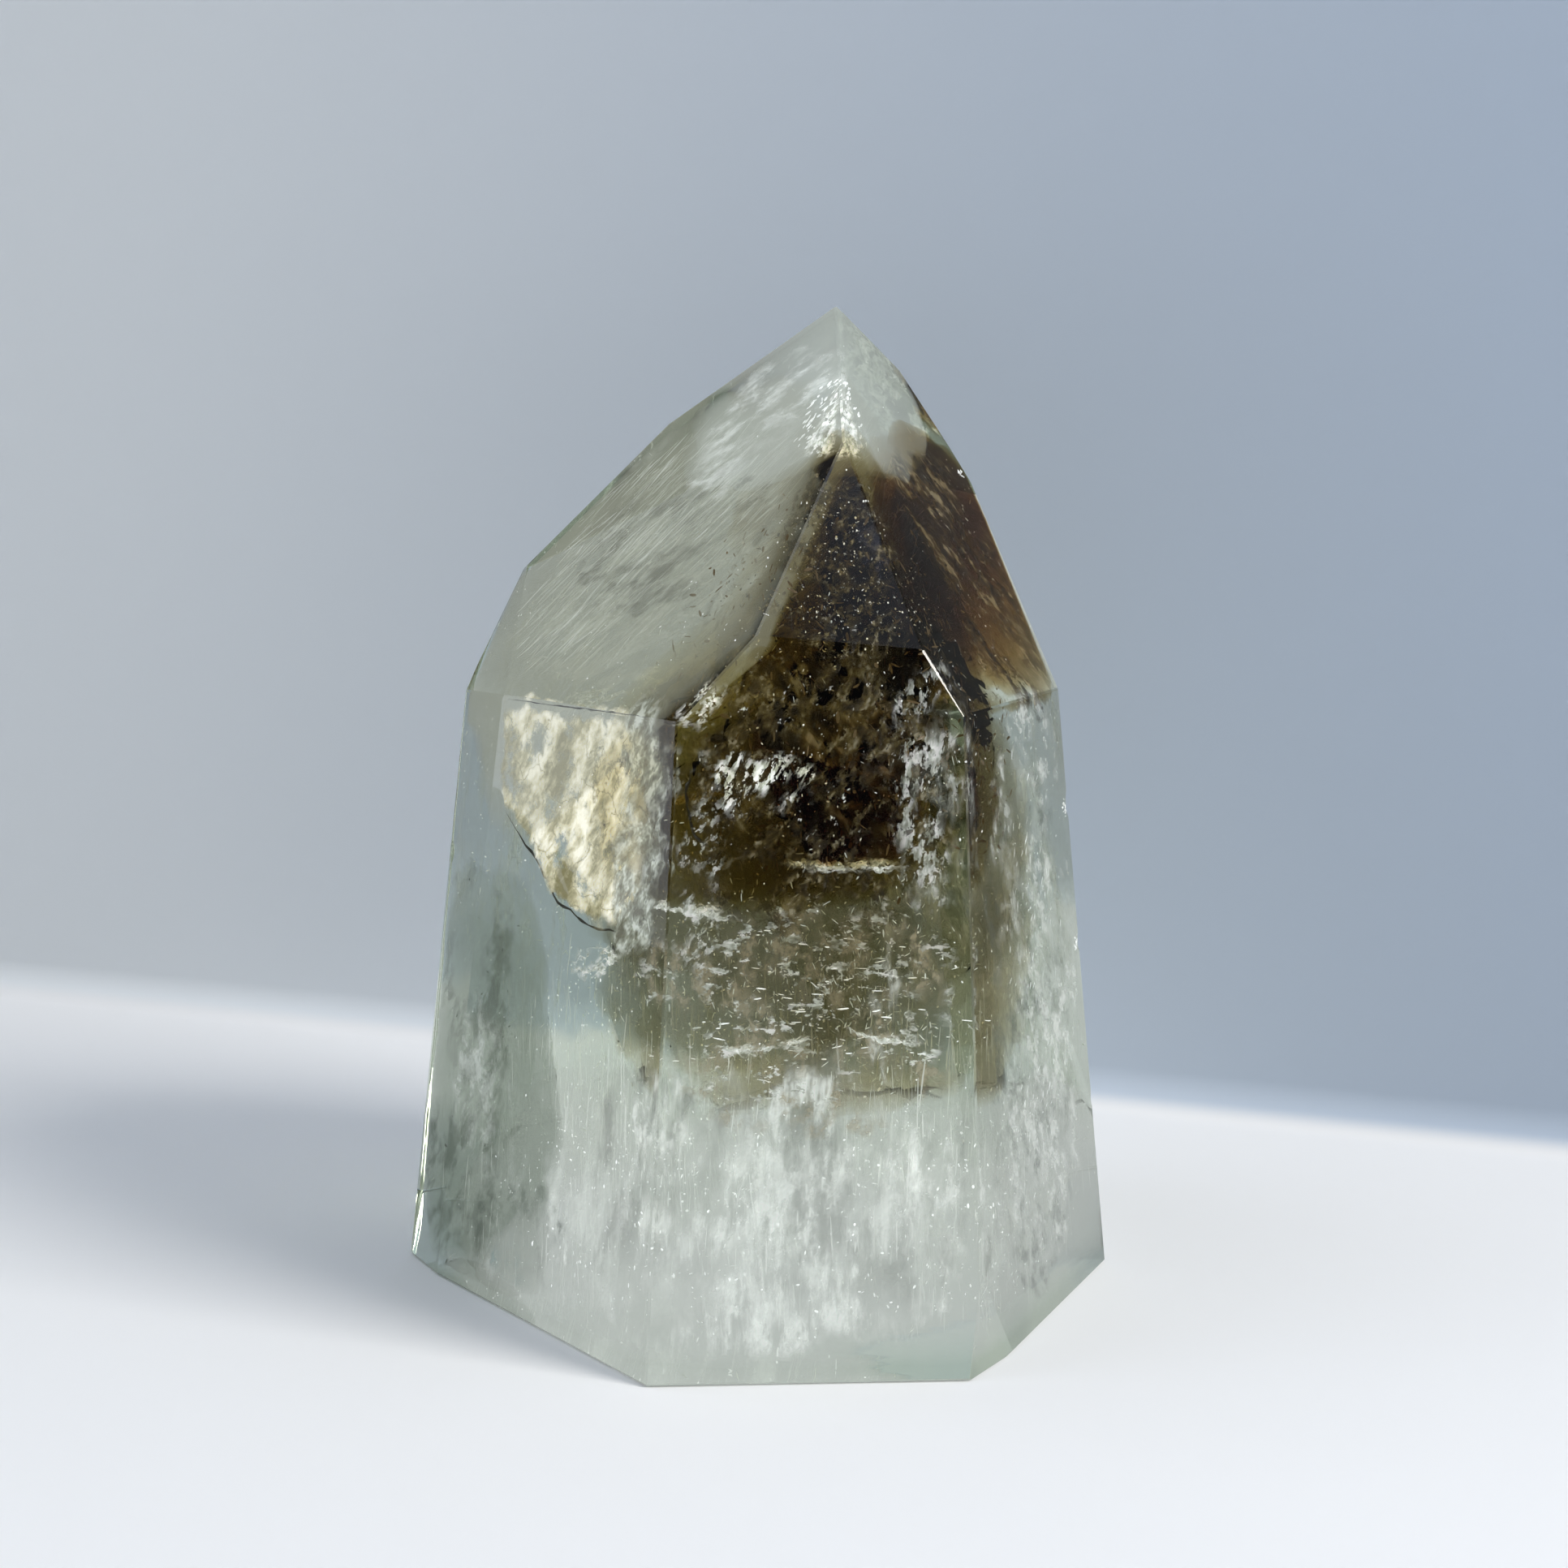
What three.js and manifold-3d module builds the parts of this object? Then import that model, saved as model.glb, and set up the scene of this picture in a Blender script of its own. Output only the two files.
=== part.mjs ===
// A prasiolite tower: one natural quartz point, sawn flat at the bottom and polished by hand.
//
// Millimetres, +Z up. The crystal stands on z = 0, with the middle of its outline over the origin.
// It is shaped as a lapidary shapes one, by grinding flat faces on a rough blank. Each face has
//   turn   the compass direction that it faces, in degrees: 0 is +X, 90 is +Y, -90 is the front
//   lean   how far it leans back from upright, in degrees
//   reach  how far it stands from the grinding axis, in millimetres, at the height "at"

import * as THREE from 'three';
import { mergeVertices } from 'three/addons/utils/BufferGeometryUtils.js';
import Module from 'manifold-3d';

const wasm = await Module();
wasm.setup();

const CRYSTAL_COLOUR = 0xaab4a5;
const POLISH_ROUGHNESS = 0.05;

// The rough blank, larger than the finished crystal on every side but its sawn base.
const BLANK_WIDTH = 80;
const BLANK_HEIGHT = 90;
const WHEEL_SIZE = 240;

// The leaning sides of the crystal's column. The left side is ground in two nearly level strips.
const SIDE_FACES = [
  { name: 'front side', turn: -87.4, lean: 5.1, reach: 25.95, at: 0 },
  { name: 'left side', turn: -140.2, lean: 5.5, reach: 24.5, at: 0 },
  { name: 'left rear strip', turn: -148.6, lean: 6.2, reach: 26.4, at: 0 },
  { name: 'right side', turn: -26.9, lean: 4.0, reach: 24.3, at: 0 },
  { name: 'right rear side', turn: 25.5, lean: 6.7, reach: 23.5, at: 0 },
  { name: 'back side', turn: 93.0, lean: 5.0, reach: 24.0, at: 0 },
  { name: 'left back side', turn: 155.0, lean: 5.5, reach: 28.6, at: 0 },
];

// The faces of the point. The strip, shoulder and sliver are where the polisher rolled an edge over.
const POINT_FACES = [
  { name: 'front triangle', turn: -84.7, lean: 32.0, reach: 23.0, at: 50 },
  { name: 'large left face', turn: -139.6, lean: 38.2, reach: 17.8, at: 50 },
  { name: 'left rear strip of the point', turn: -149.2, lean: 32.5, reach: 20.9, at: 48 },
  { name: 'left shoulder', turn: 178.0, lean: 23.6, reach: 25.6, at: 48 },
  { name: 'large right face', turn: -27.4, lean: 30.9, reach: 19.6, at: 50 },
  { name: 'right sliver', turn: -20.5, lean: 34.0, reach: 8.62, at: 70 },
  { name: 'right rear face', turn: 27.0, lean: 26.9, reach: 23.0, at: 50 },
  { name: 'back face', turn: 101.0, lean: 39.1, reach: 23.25, at: 50 },
  { name: 'left back face', turn: 145.0, lean: 39.9, reach: 27.0, at: 50 },
];

// A knock that took off the front right foot of the crystal.
const KNOCKED_FOOT = { name: 'knocked foot', turn: -35.7, lean: -1.9, reach: 25.6, at: 0 };

// Neighbouring faces meet in a thin polished bevel, unless they are nearly in one plane.
const BEVEL_WIDTH = 0.22;
const BEVEL_FROM_ANGLE = 15;
const BEVELLED_EDGE_LENGTH = 1;

// Shell-shaped chips on the edge between two faces: radius of the shell and depth of its bite.
const CHIPS = [
  { between: ['right side', 'right rear side'], height: 38.7, radius: 1.3, bite: 0.35 },
  { between: ['right side', 'right rear side'], height: 27.4, radius: 1.0, bite: 0.25 },
  { between: ['right side', 'right rear side'], height: 14.2, radius: 0.8, bite: 0.2 },
  { between: ['front side', 'left side'], height: 17.0, radius: 0.9, bite: 0.2 },
  { between: ['front side', 'right side'], height: 2.6, radius: 1.6, bite: 0.5 },
  { between: ['back side', 'left back side'], height: 31.0, radius: 1.2, bite: 0.3 },
];
const CHIP_STRETCH = 1.5;

const degrees = THREE.MathUtils.degToRad;

// A face as a plane: its name, its outward normal and a point on it.
function planeOf({ name, turn, lean, reach, at }) {
  const around = degrees(turn);
  const back = degrees(lean);
  const normal = new THREE.Vector3(
    Math.cos(around) * Math.cos(back),
    Math.sin(around) * Math.cos(back),
    Math.sin(back),
  );
  const point = new THREE.Vector3(Math.cos(around) * reach, Math.sin(around) * reach, at);
  return { name, normal, point };
}

// A closed three.js geometry as a solid that can be cut.
function solidOf(geometry) {
  const bare = geometry.clone();
  bare.deleteAttribute('normal');
  bare.deleteAttribute('uv');
  const merged = mergeVertices(bare);
  return new wasm.Manifold(new wasm.Mesh({
    numProp: 3,
    vertProperties: new Float32Array(merged.attributes.position.array),
    triVerts: new Uint32Array(merged.index.array),
  }));
}

// Grinds the solid flat along a plane, by taking away a block whose lower face lies on that plane.
function grind(solid, { normal, point }) {
  const block = new THREE.BoxGeometry(WHEEL_SIZE, WHEEL_SIZE, WHEEL_SIZE);
  block.translate(0, 0, WHEEL_SIZE / 2);
  block.applyQuaternion(new THREE.Quaternion().setFromUnitVectors(new THREE.Vector3(0, 0, 1), normal));
  block.translate(point.x, point.y, point.z);
  return solid.subtract(solidOf(block));
}

// How far a plane lies from the origin along its normal.
function offsetOf({ normal, point }) {
  return normal.dot(point);
}

// The length of the edge where two faces meet, once all the others have cut it; 0 if they don't meet.
function sharedEdgeLength(first, second, faces) {
  const along = first.normal.clone().cross(second.normal);
  const start = second.normal.clone().cross(along).multiplyScalar(offsetOf(first));
  start.add(along.clone().cross(first.normal).multiplyScalar(offsetOf(second)));
  start.divideScalar(along.lengthSq());
  along.normalize();
  let from = -Infinity;
  let to = Infinity;
  for (const other of faces) {
    if (other === first || other === second) continue;
    const room = offsetOf(other) - other.normal.dot(start);
    const approach = other.normal.dot(along);
    if (approach > 0) to = Math.min(to, room / approach);
    else from = Math.max(from, room / approach);
  }
  return Math.max(0, to - from);
}

// The plane of the bevel on the edge where two faces meet.
function bevelPlane(first, second) {
  const angle = first.normal.angleTo(second.normal);
  const sum = first.normal.clone().add(second.normal);
  const taken = BEVEL_WIDTH * Math.sin(angle / 2);
  const offset = offsetOf(first) + offsetOf(second) - taken;
  const normal = sum.clone().normalize();
  return { normal, point: normal.clone().multiplyScalar(offset / sum.length()) };
}

function isBevelled(first, second, faces) {
  const angle = first.normal.angleTo(second.normal);
  return angle > degrees(BEVEL_FROM_ANGLE)
    && sharedEdgeLength(first, second, faces) > BEVELLED_EDGE_LENGTH;
}

// The point at a given height on the edge where two faces meet.
function edgePoint(first, second, height) {
  const a = first.normal;
  const b = second.normal;
  const alongA = offsetOf(first) - a.z * height;
  const alongB = offsetOf(second) - b.z * height;
  const cross = a.x * b.y - a.y * b.x;
  return new THREE.Vector3(
    (alongA * b.y - alongB * a.y) / cross,
    (a.x * alongB - b.x * alongA) / cross,
    height,
  );
}

// Bites a shell-shaped chip, longer than it is wide, out of the edge between two faces.
function chip(solid, faces, { between, height, radius, bite }) {
  const [first, second] = between.map((name) => faces.find((face) => face.name === name));
  const outward = first.normal.clone().add(second.normal).normalize();
  const middle = edgePoint(first, second, height).addScaledVector(outward, radius - bite);
  const shell = new THREE.IcosahedronGeometry(radius, 1);
  shell.rotateZ(height);
  shell.scale(1, 1, CHIP_STRETCH);
  shell.translate(middle.x, middle.y, middle.z);
  return solid.subtract(solidOf(shell));
}

function crystalSolid() {
  const blank = new THREE.BoxGeometry(BLANK_WIDTH, BLANK_WIDTH, BLANK_HEIGHT);
  blank.translate(0, 0, BLANK_HEIGHT / 2);
  const faces = [...SIDE_FACES, ...POINT_FACES].map(planeOf);
  const base = { name: 'sawn base', normal: new THREE.Vector3(0, 0, -1), point: new THREE.Vector3() };
  const edged = [...faces, base];

  let solid = solidOf(blank);
  for (const face of faces) solid = grind(solid, face);
  edged.forEach((first, index) => {
    for (const second of edged.slice(index + 1)) {
      if (isBevelled(first, second, edged)) solid = grind(solid, bevelPlane(first, second));
    }
  });
  solid = grind(solid, planeOf(KNOCKED_FOOT));
  for (const one of CHIPS) solid = chip(solid, faces, one);
  return solid;
}

function geometryOf(solid) {
  const mesh = solid.getMesh();
  const geometry = new THREE.BufferGeometry();
  geometry.setAttribute('position', new THREE.BufferAttribute(mesh.vertProperties, 3));
  geometry.setIndex(new THREE.BufferAttribute(mesh.triVerts, 1));
  return geometry;
}

// Moves the middle of the outline over the origin, and leaves the base on z = 0.
function centred(geometry) {
  geometry.computeBoundingBox();
  const middle = geometry.boundingBox.getCenter(new THREE.Vector3());
  return geometry.translate(-middle.x, -middle.y, 0);
}

const polishedQuartz = new THREE.MeshStandardMaterial({
  color: CRYSTAL_COLOUR,
  roughness: POLISH_ROUGHNESS,
  metalness: 0,
  flatShading: true,
});

const tower = new THREE.Mesh(centred(geometryOf(crystalSolid())), polishedQuartz);
tower.name = 'crystal_tower';

const group = new THREE.Group();
group.add(tower);

export default group;
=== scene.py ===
"""A polished prasiolite tower: pale green quartz, with the smoky and golden flaws that grew inside it."""

import math

import bmesh
import bpy
from mathutils import Matrix, Vector, noise


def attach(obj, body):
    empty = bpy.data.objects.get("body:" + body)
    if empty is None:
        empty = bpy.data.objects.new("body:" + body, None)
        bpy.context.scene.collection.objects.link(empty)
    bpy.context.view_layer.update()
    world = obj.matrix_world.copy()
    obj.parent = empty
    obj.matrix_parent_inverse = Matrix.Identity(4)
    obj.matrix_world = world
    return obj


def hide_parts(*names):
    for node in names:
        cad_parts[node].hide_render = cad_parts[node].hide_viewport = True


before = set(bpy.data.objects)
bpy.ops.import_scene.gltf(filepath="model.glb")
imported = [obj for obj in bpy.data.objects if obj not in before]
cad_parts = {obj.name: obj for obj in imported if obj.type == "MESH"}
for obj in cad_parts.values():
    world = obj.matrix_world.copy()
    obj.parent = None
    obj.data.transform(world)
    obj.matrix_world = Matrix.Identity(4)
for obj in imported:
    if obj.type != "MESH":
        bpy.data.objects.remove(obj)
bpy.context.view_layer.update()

MM = 0.001

# The camera stands a hand's breadth before the crystal and looks slightly down on it.
EYE = Vector((2.33, -171.18, 63.5)) * MM
LOOK_DOWN = math.radians(7.87)
LENS_MM = 49.26
SENSOR_MM = 36.0
NEAREST_SEEN = 5 * MM
FARTHEST_SEEN = 10.0

# The pale floor that sweeps up into a pale wall, which stands nearer on the right.
FLOOR_GAP = 0.1 * MM
FLOOR_FRONT = -0.9
WALL_START = 52 * MM
SWEEP_RADIUS = 4 * MM
WALL_TOP = 0.9
WALL_TURN = math.radians(-20.9)
STAGE_HALF_WIDTH = 1.0
SWEEP_STEPS = 24
FLOOR_COLOUR = (0.93, 0.94, 0.95)
# The wall's blue grey, deeper on the right, is painted shade.
WALL_LIT_COLOUR_LEFT = (0.92, 0.97, 1.0)
WALL_SHADED_COLOUR_RIGHT = (0.50, 0.60, 0.74)
# Painted shade: the darker colour the wall takes in the crystal's reflections.
WALL_SHADE_IN_REFLECTIONS = (0.20, 0.20, 0.19)
WALL_FADE = 1.5 * MM
WALL_SHADE_WIDTH = 0.11

# Soft light: a low window on the right, a pale sky, and a darker room behind the camera.
WINDOW_TURN = math.radians(-24)
WINDOW_RISE = math.radians(33)
WINDOW_DISTANCE = 0.95
WINDOW_SIZE = 0.42
WINDOW_AIM_HEIGHT = 35 * MM
WINDOW_WATTS = 10.0
WINDOW_COLOUR = (1.0, 0.96, 0.90)
SKY_COLOUR = (0.78, 0.84, 0.95)
ROOM_COLOUR = (0.03, 0.03, 0.03)
ROOM_REACH = (-0.64, -0.15)
SKY_STRENGTH = 1.20

# Light passes through many faces and flaws of the crystal before it leaves.
MOST_BOUNCES = 9
MOST_SCATTERINGS = 2
MOST_CLEAR_LAYERS = 64

# Quartz.
QUARTZ_IOR = 1.544
QUARTZ_TINT = (0.62, 0.70, 0.56)
QUARTZ_DENSITY = 27.0
POLISH_ROUGHNESS = 0.012
POLISH_WAVE_SIZE = 7 * MM
POLISH_WAVE_DEPTH = 0.05 * MM

# The rounding that polishing leaves on each edge of the crystal, and from what angle an edge is one.
EDGE_ROUNDING = 0.07 * MM
EDGE_ROUNDING_STEPS = 2
EDGE_ANGLE = math.radians(8)

# Corners this close are one corner, triangles this nearly in one plane are one face, and a face this large
# is a ground one. A point is pulled inside all of those in a few passes.
WELD_DISTANCE = 0.001 * MM
FLAT_ANGLE = math.radians(0.6)
LEAST_FACE = 3 * MM * MM
INWARD_PASSES = 4

# How much larger the thick and thin places of a veil are than its streaks.
VEIL_BANKS = 4.0

# Sheets: over what width they fade in from the rim, how far they stay from the crystal's faces, and how
# large the rags of their rim are.
RIM_WIDTH = 1.6 * MM
SHEET_MARGIN = 0.15 * MM
RAG_SIZE = 2.0 * MM

# Crack lines: steps from one given point to the next, sides, thickness, and the size of their jags and of
# their thick and thin places.
CRACK_STEPS = 6
CRACK_SIDES = 3
CRACK_THICKNESS = 0.16 * MM
CRACK_JAG_SIZE = 0.7 * MM
CRACK_WIDTH_WAVE = 1.1 * MM

# Flakes: corners, the size and depth of their tears, and how a cloud of them is filled. One third is
# evenly, and more is denser in the middle.
FLAKE_CORNERS = 7
FLAKE_TEAR_SIZE = 0.4 * MM
FLAKE_TEAR_DEPTH = 0.12 * MM
CLOUD_FILLING = 0.45

# Smoky and cloudy lumps: how finely they are made, and how far and how widely their skin swells.
LUMP_SUBDIVISIONS = 5
LUMP_OCTAVES = 4
SMOKE_SWELL = 0.25
CLOUD_SWELL = 0.2
CLOUD_LUMP_SIZE = 9 * MM

# The golden plate's folds, crinkles, tears, tones and veins.
GOLD_FOLD_SIZE = 2.6 * MM
GOLD_CRINKLE_SIZE = 1.2 * MM
GOLD_CRINKLE_DEPTH = 0.22 * MM
GOLD_TEAR_SIZE = 3.0 * MM
GOLD_TONES = (
    (0.37, (0.22, 0.20, 0.10)),
    (0.46, (0.44, 0.41, 0.26)),
    (0.53, (0.76, 0.72, 0.54)),
    (0.59, (1.0, 0.97, 0.83)),
)
VEIN_SPACING = 7 * MM
VEIN_WANDER_SIZE = 2.4 * MM
VEIN_WANDER = 0.006
VEIN_COLOUR = (0.22, 0.20, 0.10)


# Helpers


def linear(colour):
    """A colour as four channels, opaque."""
    return (*colour, 1.0)


def object_of(name, mesh):
    """A new object that holds the mesh, in the scene."""
    mesh.name = name
    thing = bpy.data.objects.new(name, mesh)
    bpy.context.scene.collection.objects.link(thing)
    return thing


def mesh_of(bm):
    """The edited mesh as plain mesh data."""
    mesh = bpy.data.meshes.new("mesh")
    bm.to_mesh(mesh)
    bm.free()
    return mesh


def finished(thing):
    """The object with its modifiers made plain mesh."""
    graph = bpy.context.evaluated_depsgraph_get()
    mesh = bpy.data.meshes.new_from_object(thing.evaluated_get(graph))
    thing.modifiers.clear()
    old = thing.data
    thing.data = mesh
    mesh.name = thing.name
    if old.users == 0:
        bpy.data.meshes.remove(old)
    return thing


class Nodes:
    """A short way to add nodes to a tree and join them."""

    def __init__(self, tree):
        self.tree = tree

    def add(self, kind, inputs=None, **settings):
        """A new node. Each of the given inputs is joined to a socket or set to a plain value."""
        node = self.tree.nodes.new(kind)
        for name, value in settings.items():
            setattr(node, name, value)
        for name, value in (inputs or {}).items():
            if isinstance(value, bpy.types.NodeSocket):
                self.join(value, node.inputs[name])
            else:
                node.inputs[name].default_value = value
        return node

    def join(self, start, end):
        self.tree.links.new(start, end)


def new_material(name):
    """A material with an empty tree, its nodes helper and its output."""
    material = bpy.data.materials.new(name)
    material.use_nodes = True
    material.node_tree.nodes.clear()
    nodes = Nodes(material.node_tree)
    output = nodes.add("ShaderNodeOutputMaterial")
    return material, nodes, output


def principled(nodes, output, **values):
    """The main shader, with the given plain values on its sockets."""
    shader = nodes.add("ShaderNodeBsdfPrincipled")
    for name, value in values.items():
        shader.inputs[name.replace("_", " ")].default_value = value
    nodes.join(shader.outputs["BSDF"], output.inputs["Surface"])
    return shader


def absorb(nodes, output, tint, density):
    """The inside of a clear thing swallows some of the light that passes."""
    inside = nodes.add("ShaderNodeVolumeAbsorption", {"Color": linear(tint), "Density": density})
    nodes.join(inside.outputs["Volume"], output.inputs["Volume"])


# Materials


def clear_green_quartz():
    """Clear polished quartz, faintly green, with the slight waves of a hand-held polish."""
    material, nodes, output = new_material("clear_green_quartz")
    shader = principled(
        nodes, output, Base_Color=linear((1, 1, 1)), Roughness=POLISH_ROUGHNESS, IOR=QUARTZ_IOR,
        Transmission_Weight=1.0,
    )
    bumpy(nodes, shader, noise_at(nodes, POLISH_WAVE_SIZE, 3.0, 0.42), POLISH_WAVE_DEPTH)
    absorb(nodes, output, QUARTZ_TINT, QUARTZ_DENSITY)
    return material


def surfaceless(nodes, output):
    """The skin of a zone inside the crystal: light passes it unbent."""
    principled(nodes, output, Base_Color=linear((1, 1, 1)), Roughness=0.0, IOR=1.0, Transmission_Weight=1.0)


def smoky_quartz(name, tint, density):
    """A browner growth zone, which swallows light."""
    material, nodes, output = new_material(name)
    surfaceless(nodes, output)
    absorb(nodes, output, tint, density)
    return material


def haze(name, colour, density):
    """A cloudy zone of countless tiny bubbles, which hides what lies behind and glows with painted light."""
    material, nodes, output = new_material(name)
    surfaceless(nodes, output)
    veiled = nodes.add("ShaderNodeVolumeAbsorption", {"Color": linear((0, 0, 0)), "Density": density})
    # Painted light: the haze glows evenly instead of scattering the light that reaches it.
    held = nodes.add("ShaderNodeEmission", {"Color": linear(colour), "Strength": density})
    both = nodes.add("ShaderNodeAddShader", {0: veiled.outputs["Volume"], 1: held.outputs["Emission"]})
    nodes.join(both.outputs["Shader"], output.inputs["Volume"])
    return material


def noise_at(nodes, size, detail=3.0, roughness=0.5, longer=(1, 1, 1), turn=(0, 0, 0)):
    """Noise whose waves are about the given size, read at the object's own place.

    longer stretches the waves along their own three axes, which turn has turned.
    """
    place = nodes.add("ShaderNodeTexCoord").outputs["Object"]
    turned = nodes.add(
        "ShaderNodeMapping", {"Vector": place, "Scale": longer, "Rotation": turn}, vector_type="TEXTURE",
    )
    waves = nodes.add("ShaderNodeTexNoise", {
        "Vector": turned.outputs["Vector"], "Scale": 1 / size, "Detail": detail, "Roughness": roughness,
    })
    return waves.outputs["Fac"]


def shades(nodes, value, stops):
    """A colour ramp through the stops, each a place and a colour."""
    node = nodes.add("ShaderNodeValToRGB", {"Fac": value})
    ramp = node.color_ramp
    while len(ramp.elements) < len(stops):
        ramp.elements.new(1.0)
    for element, (position, colour) in zip(ramp.elements, stops):
        element.position = position
        element.color = linear(colour)
    return node.outputs["Color"]


def step_between(nodes, value, low, high, top=1.0):
    """A soft step: 0 up to low, top from high on."""
    step = nodes.add(
        "ShaderNodeMapRange", {"Value": value, "From Min": low, "From Max": high, "To Max": top},
        interpolation_type="SMOOTHSTEP",
    )
    return step.outputs["Result"]


def times(nodes, first, second):
    """The product of two values."""
    return nodes.add("ShaderNodeMath", {0: first, 1: second}, operation="MULTIPLY").outputs["Value"]


def mixed(nodes, share, first, second):
    """A colour from the first, at 0, to the second, at 1."""
    mix = nodes.add("ShaderNodeMix", {"Factor": share, "A": first, "B": second}, data_type="RGBA")
    return mix.outputs["Result"]


def attribute(nodes, name):
    """A value that the mesh carries at each corner."""
    return nodes.add("ShaderNodeAttribute", attribute_name=name).outputs["Fac"]


def bumpy(nodes, shader, height, depth):
    """Waves of the given depth on the shader's surface."""
    bump = nodes.add("ShaderNodeBump", {"Height": height, "Distance": depth})
    nodes.join(bump.outputs["Normal"], shader.inputs["Normal"])


def painted_glow_flaw(name, colour, glow, roughness=0.4):
    """A flaw that glows with painted light in place of caught daylight. Its glow isn't sampled as a lamp."""
    material, nodes, output = new_material(name)
    shader = principled(
        nodes, output, Base_Color=linear(colour), Roughness=roughness, Emission_Color=linear(colour),
        Emission_Strength=glow,
    )
    material.cycles.emission_sampling = "NONE"
    material.use_transparent_shadow = False
    return material, nodes, shader


def pale_wisp(name, colour, glow, faintest, strongest):
    """A hair-fine streak of bubbles that glows with painted light, fainter or stronger from one to the next.
    """
    material, nodes, shader = painted_glow_flaw(name, colour, glow)
    cover = nodes.add(
        "ShaderNodeMapRange", {"Value": attribute(nodes, "tone"), "To Min": faintest, "To Max": strongest},
    )
    nodes.join(cover.outputs["Result"], shader.inputs["Alpha"])
    return material


def coloured(nodes, shader, colour):
    """The flaw takes the colour, and its glow too."""
    for end in ("Base Color", "Emission Color"):
        nodes.join(colour, shader.inputs[end])


def fade_in_banks(nodes, shader, patches, wave, thin, thick):
    """The patches show in thick banks, and fade out towards the sheet's rim."""
    banks = step_between(nodes, noise_at(nodes, wave * VEIL_BANKS, 1.0), thin, thick)
    inner = step_between(nodes, attribute(nodes, "rim"), 0.0, 1.0)
    nodes.join(times(nodes, times(nodes, patches, banks), inner), shader.inputs["Alpha"])


def milky_veil(name, colour, glow, cover, wave, longer, turn):
    """A healed crack: a sheet of fine bubbles, thick in places and clear in others, glowing with painted
    light.
    """
    material, nodes, shader = painted_glow_flaw(name, colour, glow)
    streaks = step_between(nodes, noise_at(nodes, wave, 3.0, 0.66, longer, turn), 0.42, 0.66, cover)
    fade_in_banks(nodes, shader, streaks, wave, 0.36, 0.60)
    return material


def crackle(name, stops, glow, cover, wave, low, high, longer, turn):
    """A crumpled crack: small torn patches in several tones, with clear quartz between them."""
    material, nodes, shader = painted_glow_flaw(name, (1, 1, 1), glow, 0.35)
    coloured(nodes, shader, shades(nodes, noise_at(nodes, wave * 0.7, 2.0, 0.7, longer, turn), stops))
    torn = step_between(nodes, noise_at(nodes, wave, 4.0, 0.72, longer, turn), low, high, cover)
    fade_in_banks(nodes, shader, torn, wave, 0.34, 0.56)
    return material


def golden_fracture():
    """A crumpled crack, cream and gold, with a few thin olive veins, that glows with painted light."""
    material, nodes, shader = painted_glow_flaw("golden_fracture", (1, 1, 1), 0.72, 0.3)
    folds = noise_at(nodes, GOLD_FOLD_SIZE, 5.0, 0.66, (1, 1, 2.0), (0.25, 0.6, 0))
    place = nodes.add("ShaderNodeTexCoord").outputs["Object"]
    waves = {"Vector": place, "Scale": 1 / VEIN_WANDER_SIZE, "Detail": 4.0}
    jitter = nodes.add("ShaderNodeTexNoise", waves).outputs["Color"]
    wander = nodes.add("ShaderNodeMix", {"Factor": VEIN_WANDER, "A": place, "B": jitter}, data_type="VECTOR")
    veins = nodes.add(
        "ShaderNodeTexVoronoi", {"Vector": wander.outputs["Result"], "Scale": 1 / VEIN_SPACING},
        feature="DISTANCE_TO_EDGE",
    )
    line = step_between(nodes, veins.outputs["Distance"], -0.015, 0.03)
    coloured(nodes, shader, mixed(nodes, line, linear(VEIN_COLOUR), shades(nodes, folds, GOLD_TONES)))
    torn = step_between(nodes, noise_at(nodes, GOLD_TEAR_SIZE, 5.0, 0.7), 0.32, 0.50)
    inner = step_between(nodes, attribute(nodes, "rim"), 0.0, 0.5)
    nodes.join(times(nodes, torn, inner), shader.inputs["Alpha"])
    bumpy(nodes, shader, noise_at(nodes, GOLD_CRINKLE_SIZE, 5.0, 0.7), GOLD_CRINKLE_DEPTH)
    return material


def dark_fleck():
    """A crack or speck that sends no light back; also used for a painted shadow line."""
    material, nodes, output = new_material("dark_fleck")
    principled(nodes, output, Base_Color=linear((0.035, 0.03, 0.012)), Roughness=0.4)
    return material


# Crystal


def merged_copy(name, node):
    """A copy of a CAD node whose loose triangles are joined into whole faces."""
    bm = bmesh.new()
    bm.from_mesh(node.data)
    bmesh.ops.remove_doubles(bm, verts=bm.verts, dist=WELD_DISTANCE)
    bmesh.ops.dissolve_limit(bm, angle_limit=FLAT_ANGLE, verts=bm.verts, edges=bm.edges)
    bmesh.ops.recalc_face_normals(bm, faces=bm.faces)
    return object_of(name, mesh_of(bm))


def polished_crystal():
    """The whole crystal, with finely rounded edges and chips."""
    crystal = merged_copy("polished_crystal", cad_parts["crystal_tower"])
    crystal.data.shade_smooth()
    rounding = crystal.modifiers.new("rounding", "BEVEL")
    rounding.limit_method = "ANGLE"
    rounding.angle_limit = EDGE_ANGLE
    rounding.width = EDGE_ROUNDING
    rounding.segments = EDGE_ROUNDING_STEPS
    rounding.harden_normals = True
    finished(crystal)
    crystal.data.materials.clear()
    crystal.data.materials.append(clear_green_quartz())
    return crystal


def crystal_planes():
    """The ground faces as (outward normal, distance from the origin)."""
    probe = merged_copy("probe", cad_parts["crystal_tower"])
    planes = [
        (face.normal.copy(), face.normal.dot(face.center))
        for face in probe.data.polygons
        if face.area > LEAST_FACE
    ]
    mesh = probe.data
    bpy.data.objects.remove(probe)
    bpy.data.meshes.remove(mesh)
    return planes


PLANES = crystal_planes()


def room_at(point):
    """How far a point lies inside the nearest ground face."""
    return min(offset - normal.dot(point) for normal, offset in PLANES)


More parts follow.
